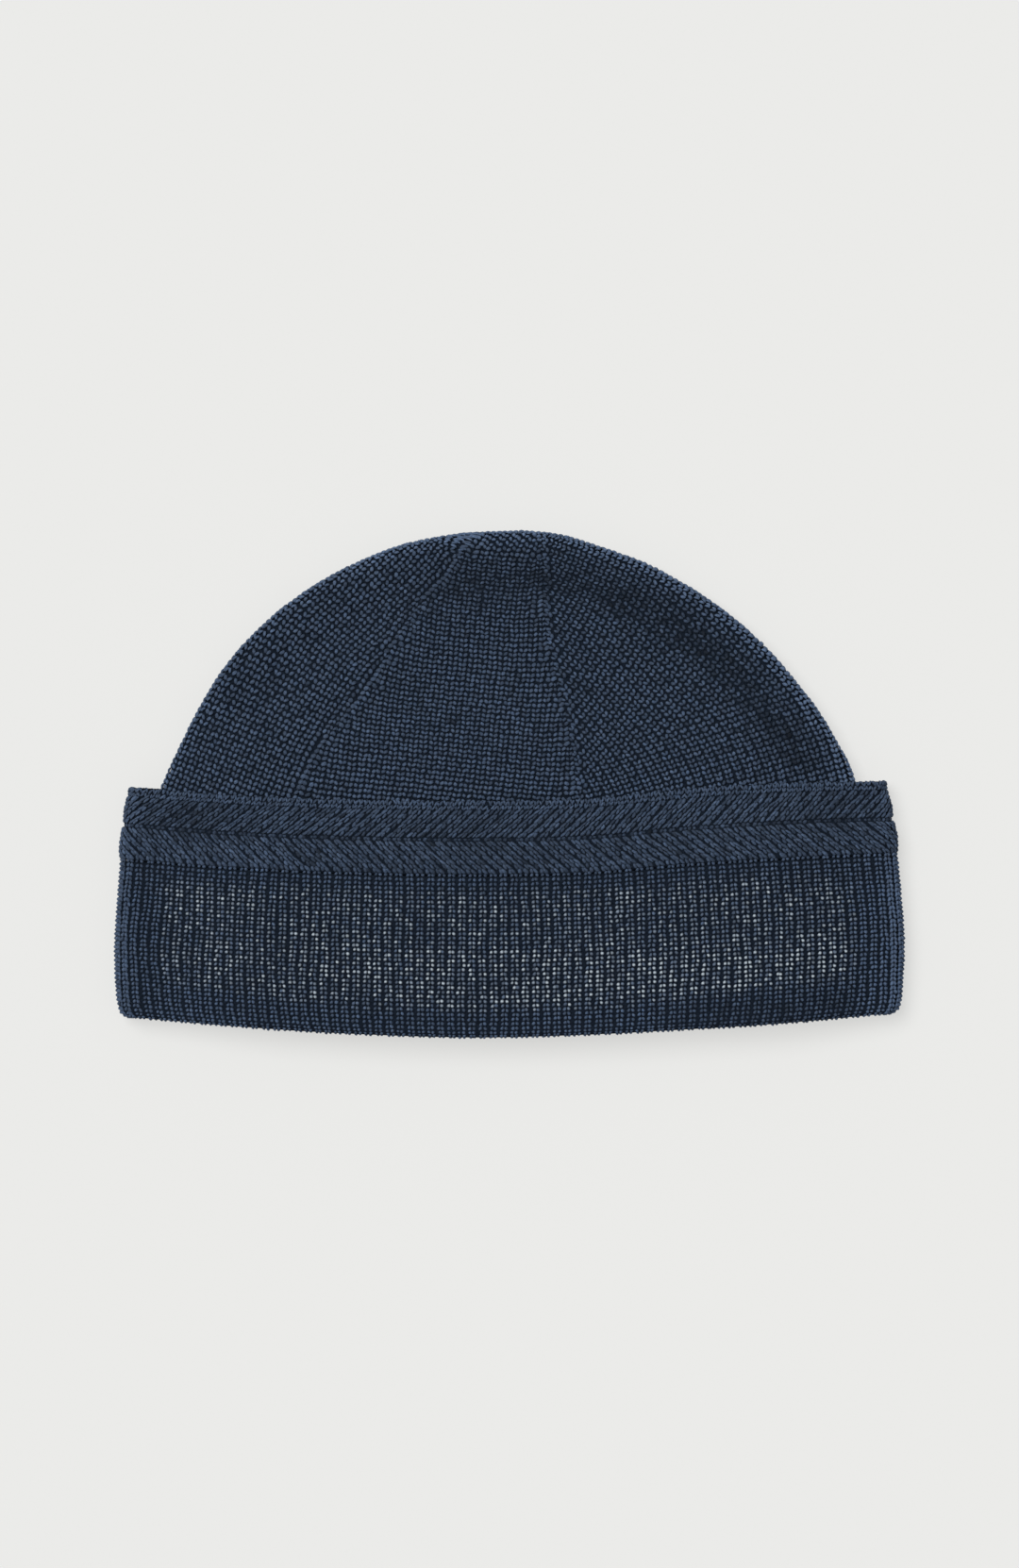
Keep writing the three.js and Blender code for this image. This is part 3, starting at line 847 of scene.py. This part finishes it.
def gore_frames(gore, face):
    """A gore's lattice laid on one face of the body."""
    plan, u, v = gore
    keep = (crown_point(plan, face)[1] > EDGE_RUN + EDGE_CLEAR) & (plan[:, 1] > LOWEST_Y)
    plan, u, v = plan[keep] + rng.normal(0, PLAN_JITTER, (keep.sum(), 2)), u[keep], v[keep]
    wander = [smooth_noise(plan[:, 0], plan[:, 1], seed, *WANDER_SIZE) for seed in (31, 32)]
    plan = plan + np.stack(wander, -1) * WANDER

    def place(offset):
        return crown_point(plan + offset, face, KNIT_DEPTH)[0]

    # Steps of half a stitch, doubled, follow the rolled edge more closely than whole ones
    return place(0), (place(u / 4) - place(-u / 4)) * 2, (place(v / 4) - place(-v / 4)) * 2


# Brightness of the crown, with painted light along its rolled edge and just above the cuff and painted shade
# in a crescent inside the edge: amounts as shares, and where each starts and ends
CROWN_PATCHES = [(21, 60, 50, 0.05), (22, 6, 6, 0.04)]
# Painted highlight along the crown's rolled edge
RIM_PAINTED_LIGHT = 0.62
RIM_LIGHT_REACH = (1.5, 6.2)
RIM_LIGHT_START = (-75, -35)
RIM_LIGHT_LEFT = 0.3
# Painted shade: a darker crescent a little inside the crown's edge, mostly at the right and top
CRESCENT_PAINTED_SHADE = 0.48
CRESCENT_DEPTH = 13.5
CRESCENT_LEFT_DEPTH = 4  # more at the left
CRESCENT_TURN = (-5, 25)
CRESCENT_WIDTH = 6.5
CRESCENT_LEFT = 0.7
CRESCENT_LEFT_START = (-50, -10)
CRESCENT_RIGHT_START = (5, 30)
CRESCENT_RISE = (-2, 10)
RIGHT_SEAM_DARK, RIGHT_SEAM_WIDTH = 0.13, 2.4
LEFT_SEAM_DARK, LEFT_SEAM_WIDTH = 0.07, 2.8
# Painted light: the crown is made lighter just above the cuff
CUFF_EDGE_PAINTED_LIGHT = 0.1
CUFF_GLOW_RISE = (1, 9)


def seam_at(seam, y):
    """X of a seam at a height."""
    return np.interp(y, [row[2] for row in seam], [row[1] for row in seam])


def crown_tone(x, y):
    """Patchy yarn, with a painted highlight along the rolled edge, painted shade in a crescent inside it,
    darker seams and painted light just above the cuff.
    """
    reach = from_outline(np.stack([x, y], -1))[0]
    # Painted highlight along the rolled edge
    rim_light = RIM_PAINTED_LIGHT * fade(reach, *RIM_LIGHT_REACH) * lerp(RIM_LIGHT_LEFT, 1, smoothstep(x, *RIM_LIGHT_START))
    depth = CRESCENT_DEPTH + CRESCENT_LEFT_DEPTH * fade(x, *CRESCENT_TURN)
    left = CRESCENT_LEFT * smoothstep(x, *CRESCENT_LEFT_START)
    # Painted shade in a crescent inside the rolled edge
    crescent = CRESCENT_PAINTED_SHADE * hill(reach, depth, CRESCENT_WIDTH) * smoothstep(y, *CRESCENT_RISE)
    crescent = crescent * lerp(left, 1, smoothstep(x, *CRESCENT_RIGHT_START))
    seams = RIGHT_SEAM_DARK * hill(x, seam_at(RIGHT_SEAM, y), RIGHT_SEAM_WIDTH)
    seams = seams + LEFT_SEAM_DARK * hill(x, seam_at(LEFT_SEAM, y), LEFT_SEAM_WIDTH)
    cuff_edge_light = CUFF_EDGE_PAINTED_LIGHT * fade(y, *CUFF_GLOW_RISE)
    return patches(x, y, CROWN_PATCHES) + rim_light - crescent - seams + cuff_edge_light


# A stitch sheared by more than the first loses some of its slant, and by the second all of it
SHEARED = (0.2, 0.45)
LEAST_COURSE = 0.7  # of a full size leg
LEAST_WALE, MOST_WALE = 0.75, 1.2


def crown_knit(name, face, sides):
    made = []
    for part, (centre, across, ahead), legs in (
        ("_middle_knit", gore_frames(middle_gore, face), CROWN_LEGS),
        ("_left_knit", gore_frames(left_gore, face), LEFT_CROWN_LEGS),
        ("_right_knit", gore_frames(right_gore, face), RIGHT_CROWN_LEGS),
        ("_edge_knit", edge_wale(face), EDGE_WALE_LEGS),
    ):
        area = np.cross(across, ahead)
        stitch_ahead = unit(ahead)
        skew = np.sum(across * stitch_ahead, 1, keepdims=True)
        share = smoothstep(np.abs(skew) / np.linalg.norm(across, axis=1, keepdims=True), *SHEARED)
        across = across - skew * share * stitch_ahead
        wide = np.linalg.norm(across, axis=1)
        course = np.linalg.norm(area, axis=1) / wide
        scale = np.clip(course / EVEN_COURSE, LEAST_COURSE, 1) * np.clip(wide / WALE, LEAST_WALE, MOST_WALE)
        stitches = centre, across, ahead, unit(area) * face
        tone = crown_tone(centre[:, 0], centre[:, 1])
        made.append(legs_mesh(name + part, stitches, legs, sides, CROWN_JITTER, tone, scale=scale))
    return made


crown_front = crown_knit("crown_front", 1.0, FRONT_SIDES)
crown_back = crown_knit("crown_back", -1.0, BACK_SIDES)

# Fabric under the stitches, in a yarn darkened to painted shade for the gaps between the legs
BASE_DEPTH = 0.9
FOLD_BASE = 0.6 * BASE_DEPTH
TURNS = np.arange(180) / 180
MOUTH_HEIGHTS = (14, 9, 5)
FOLD_RINGS = 13
OUTER_START, OUTER_RINGS = 2, 24  # above the fold's round
INNER_END, INNER_RINGS = 0.5, 12
INNER_CLEAR = 0.1
BORDER_TOP_MARGIN = 0.6
BORDER_OUTER_RINGS, BORDER_INNER_RINGS = 30, 8


def skin(name, rings, closed):
    """A closed skin through rings of equal count, each round the tube. It goes back to its first
    ring or else ends in two poles."""
    count = len(rings[0])
    points = np.concatenate(rings)
    index = np.arange(count)
    onward = (index + 1) % count
    quads = []
    for r in range(len(rings) if closed else len(rings) - 1):
        a, b = r * count, (r + 1) % len(rings) * count
        quads.append(np.stack([a + index, a + onward, b + onward, b + index], -1))
    tris = np.zeros((0, 3), int)
    if not closed:
        points = np.concatenate([points, [rings[0].mean(0), rings[-1].mean(0)]])
        first, last = len(points) - 2, len(points) - 1
        end = (len(rings) - 1) * count
        tris = np.concatenate([
            np.stack([np.full(count, first), onward, index], -1),
            np.stack([np.full(count, last), end + index, end + onward], -1),
        ])
    return make_mesh(name, points, np.concatenate(quads), tris)


def cuff_base():
    rings = [cuff_point(TURNS, above, 2 * FOLD_RADIUS - FOLD_BASE) for above in MOUTH_HEIGHTS]
    radius = FOLD_RADIUS - FOLD_BASE
    for angle in np.radians(np.linspace(-90, 90, FOLD_RINGS)):
        above = FOLD_RADIUS - radius * math.cos(angle)
        rings.append(cuff_point(TURNS, above, FOLD_RADIUS - radius * math.sin(angle)))
    top = CUFF_TALL - BORDER_TALL - SEAM_GAP
    start, end = FOLD_RADIUS + OUTER_START, FOLD_RADIUS + INNER_END
    rings += [cuff_point(TURNS, above, BASE_DEPTH) for above in np.linspace(start, top, OUTER_RINGS)]
    rings += [cuff_point(TURNS, above, CUFF_WALL) for above in np.linspace(top, end, INNER_RINGS)]
    for above in (end, MOUTH_HEIGHTS[0]):
        rings.append(cuff_point(TURNS, above, BODY_DEPTH + INNER_CLEAR))
    return skin("cuff_fabric", rings, True)


def border_base():
    tall = BORDER_TALL - BORDER_TOP_MARGIN
    outer = [(up, border_depth(up, BASE_DEPTH)) for up in np.linspace(0, 1, BORDER_OUTER_RINGS)]
    inner = [(up, CUFF_WALL) for up in np.linspace(1, 0, BORDER_INNER_RINGS)]
    rings = [cuff_point(TURNS, BORDER_BASE + up * tall, depth) for up, depth in outer + inner]
    return skin("border_fabric", rings, True)


def inset(edge, side, depth):
    """An edge of the body moved inward, upright at its rim and level at the top."""
    ahead = unit(np.gradient(edge, axis=0))
    ahead[0], ahead[-1] = (0, 1), (-side, 0)
    return edge + np.stack([-side * ahead[:, 1], side * ahead[:, 0]], -1) * depth


ROLL_LIMIT = 0.35  # of the body's width, near the top
RIM_SHARE = 0.25  # of the height, where the rim's own curve dies out
LEVELS = 48
LAST_LEVEL = 0.985
LEVEL_POWER = 1.5  # brings the rings closer together towards the top


def crown_base_skin(depth, levels):
    """Rings round the body, at a depth under its skin."""
    left_edge, right_edge = inset(LEFT_EDGE, -1, depth), inset(RIGHT_EDGE, 1, depth)
    rings = []
    for up in levels:
        left, right = [read(edge, np.linspace(0, 1, len(edge)), up) for edge in (left_edge, right_edge)]
        width = right[0] - left[0]
        roll = min(float(body_roll(left[1])) - depth, ROLL_LIMIT * width)
        face, x, _ = place_at(TURNS, left[0], right[0], roll)
        across = np.clip((2 * x - left[0] - right[0]) / width, -1, 1)
        rim = lerp(left_edge[0, 1], right_edge[0, 1], (across + 1) / 2)
        rim_drop = rim - cuff_line(across, BODY_RIM, face)
        chord = lerp(left[1], right[1], (across + 1) / 2)
        middle = lerp(float(cuff_line(0, BODY_RIM, 1)), CROWN_TOP - depth, up)
        drop = ((left[1] + right[1]) / 2 - middle) * (1 - across**2)
        y = chord - lerp(rim_drop, drop, smoothstep(up, 0, RIM_SHARE))
        reach = np.maximum(from_outline(np.stack([x, y], -1))[0] - depth, 0)
        front, back = body_heights(x, y, reach + depth)
        rise = np.sqrt(1 - (1 - np.minimum(reach / (body_roll(y) - depth), 1)) ** 2)
        z = lerp((front + back) / 2, np.where(face > 0, front - depth, back + depth), rise)
        rings.append(np.stack([x, y, z], -1))
    return rings


def crown_base():
    levels = 1 - (1 - np.linspace(0, LAST_LEVEL, LEVELS)) ** LEVEL_POWER
    rings = [*crown_base_skin(CROWN_WALL, levels)[::-1], *crown_base_skin(BASE_DEPTH, levels)]
    return skin("crown_fabric", rings, False)


cuff_fabric, border_fabric, crown_fabric = cuff_base(), border_base(), crown_base()


# Materials
class Nodes:
    """Short ways to add and join shader nodes."""

    def __init__(self, name):
        self.material = bpy.data.materials.new(name)
        self.material.use_nodes = True
        self.tree = self.material.node_tree
        self.shader = self.tree.nodes["Principled BSDF"]

    def add(self, kind, inputs, **settings):
        node = self.tree.nodes.new(kind)
        for key, value in settings.items():
            setattr(node, key, value)
        self.set(node, inputs)
        return node

    def set(self, node, inputs):
        for key, value in inputs.items():
            socket = node.inputs[key]
            if isinstance(value, bpy.types.NodeSocket):
                self.tree.links.new(value, socket)
            else:
                socket.default_value = value

    def place(self):
        return self.add("ShaderNodeNewGeometry", {}).outputs["Position"]

    def attribute(self, name):
        return self.add("ShaderNodeAttribute", {}, attribute_name=name).outputs["Fac"]

    def mix(self, share, first, second):
        """A colour between two others. Sockets 6 and 7 of the node are its colours."""
        return self.add("ShaderNodeMix", {0: share, 6: first, 7: second}, data_type="RGBA").outputs[2]


FIBRE_SCALE = 1700.0
# Sockets of the range node: the noise's low and high, then how dark and how light the fibres are
FIBRE_RANGE = {1: 0.3, 2: 0.7, 3: 0.5, 4: 1.52}
FIBRE_BUMP = 0.00012
HEATHER_SCALE = 420.0
WARM = (1.12, 1.02, 0.95)
COOL = (0.9, 0.98, 1.06)
SHEEN_TINT = (0.62, 0.78, 1, 1)


def tinted(colour, tint):
    return (*(c * f for c, f in zip(colour, tint)), 1)


def yarn_material(name, colour, pale=None, shine=0.14, sheen=0.05):
    """Heathered yarn: dark and light fibres, and a brightness per leg from its tone, which holds a little
    difference from leg to leg together with painted light and shade. Pale tips are partly painted highlight.
    """
    n = Nodes(name)
    place = n.place()
    noise = "ShaderNodeTexNoise"
    fibres = n.add(noise, {"Vector": place, "Scale": FIBRE_SCALE, "Detail": 4.0, "Roughness": 0.7})
    patchy = n.add(noise, {"Vector": place, "Scale": HEATHER_SCALE, "Detail": 2.0, "Roughness": 0.5})
    light = n.add("ShaderNodeMapRange", {"Value": fibres.outputs["Fac"], **FIBRE_RANGE})
    legs = n.add("ShaderNodeMath", {0: n.attribute("tone"), 1: 1.0, 2: 1.0}, operation="MULTIPLY_ADD")
    both = n.add("ShaderNodeMath", {0: light.outputs[0], 1: legs.outputs[0]}, operation="MULTIPLY")
    hue = n.mix(patchy.outputs["Fac"], tinted(colour, WARM), tinted(colour, COOL))
    shade = n.add("ShaderNodeVectorMath", {0: hue, "Scale": both.outputs[0]}, operation="SCALE")
    colour_out = shade.outputs[0]
    if pale is not None:
        colour_out = n.mix(n.attribute("pale"), colour_out, (*pale, 1))
    bump = n.add("ShaderNodeBump", {"Height": fibres.outputs["Fac"], "Strength": 0.5, "Distance": FIBRE_BUMP})
    n.set(n.shader, {
        "Base Color": colour_out,
        "Roughness": 0.92,
        "Specular IOR Level": shine,
        "Sheen Weight": sheen,
        "Sheen Roughness": 0.5,
        "Sheen Tint": SHEEN_TINT,
        "Normal": bump.outputs[0],
    })
    return n.material


YARN = (0.054, 0.081, 0.132)
# The fabric under the stitches is far darker than the yarn: painted shade in the gaps between the legs
UNDER_YARN_SHADE = tuple(c * 0.16 for c in YARN)
# Pale tips: pale fibres and painted highlight on the crests of the cuff's legs
PALE_TIPS_AND_HIGHLIGHTS = (0.53, 0.605, 0.66)
cuff_yarn = yarn_material("cuff_yarn", YARN, pale=PALE_TIPS_AND_HIGHLIGHTS)
plain_yarn = yarn_material("plain_yarn", YARN)
border_yarn = yarn_material("border_yarn", YARN)
gap_shade_yarn = yarn_material("gap_shade_yarn", UNDER_YARN_SHADE, shine=0.0, sheen=0.0)

MADE = {
    "cuff": ([cuff_front, cuff_back, brim_fold, cuff_fabric], cuff_yarn),
    "cuff_border": ([*border_front, *border_back, border_fabric], border_yarn),
    "crown": ([*crown_front, *crown_back, crown_fabric], plain_yarn),
}
for node, (pieces, material) in MADE.items():
    for piece in pieces:
        fabric = piece.name.endswith("fabric")
        piece.data.materials.append(gap_shade_yarn if fabric else material)
        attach(piece, "root")
        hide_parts(node)

# Floor: much of its brightness is its own glow, so that it stays as even as paper
FLOOR_SIZE = 3.0
half = FLOOR_SIZE / 2
floor_mesh = bpy.data.meshes.new("floor")
corners = [(-half, -half, 0), (half, -half, 0), (half, half, 0), (-half, half, 0)]
floor_mesh.from_pydata(corners, [], [(0, 1, 2, 3)])
floor = bpy.data.objects.new("floor", floor_mesh)
bpy.context.scene.collection.objects.link(floor)
paper = Nodes("paper")
grain = paper.add("ShaderNodeTexNoise", {"Vector": paper.place(), "Scale": 900.0})
paper.set(paper.shader, {
    "Base Color": paper.mix(grain.outputs["Fac"], (0.226, 0.226, 0.222, 1), (0.232, 0.232, 0.228, 1)),
    "Roughness": 1.0,
    "Specular IOR Level": 0.0,
    "Emission Color": (0.602, 0.602, 0.590, 1),
    "Emission Strength": 1.0,
})
floor_mesh.materials.append(paper.material)

# Light: a broad soft one high on the upper left, and light from all round
scene = bpy.context.scene
sun = bpy.data.lights.new("soft_sun", "SUN")
sun.angle = math.radians(36)
sun.energy = 2.3
sun_object = bpy.data.objects.new("soft_sun", sun)
azimuth, elevation = math.radians(140), math.radians(62)
level = math.cos(elevation)
direction = Vector((math.cos(azimuth) * level, math.sin(azimuth) * level, math.sin(elevation)))
sun_object.rotation_euler = direction.to_track_quat("Z", "Y").to_euler()
scene.collection.objects.link(sun_object)
world = bpy.data.worlds.new("studio")
world.use_nodes = True
world.node_tree.nodes["Background"].inputs["Color"].default_value = (1, 1, 1, 1)
world.node_tree.nodes["Background"].inputs["Strength"].default_value = 0.35
scene.world = world
scene.view_settings.view_transform = "Standard"
scene.view_settings.look = "None"

# Camera: straight above, far off
FRAME_TALL = 486.4 * MM
CAMERA_HEIGHT = 2.6
camera = bpy.data.cameras.new("camera")
camera.sensor_width = 36
camera.lens = camera.sensor_width * CAMERA_HEIGHT / FRAME_TALL
camera.clip_end = 20
camera_object = bpy.data.objects.new("camera", camera)
camera_object.location = (0, 0, CAMERA_HEIGHT)
scene.collection.objects.link(camera_object)
scene.camera = camera_object
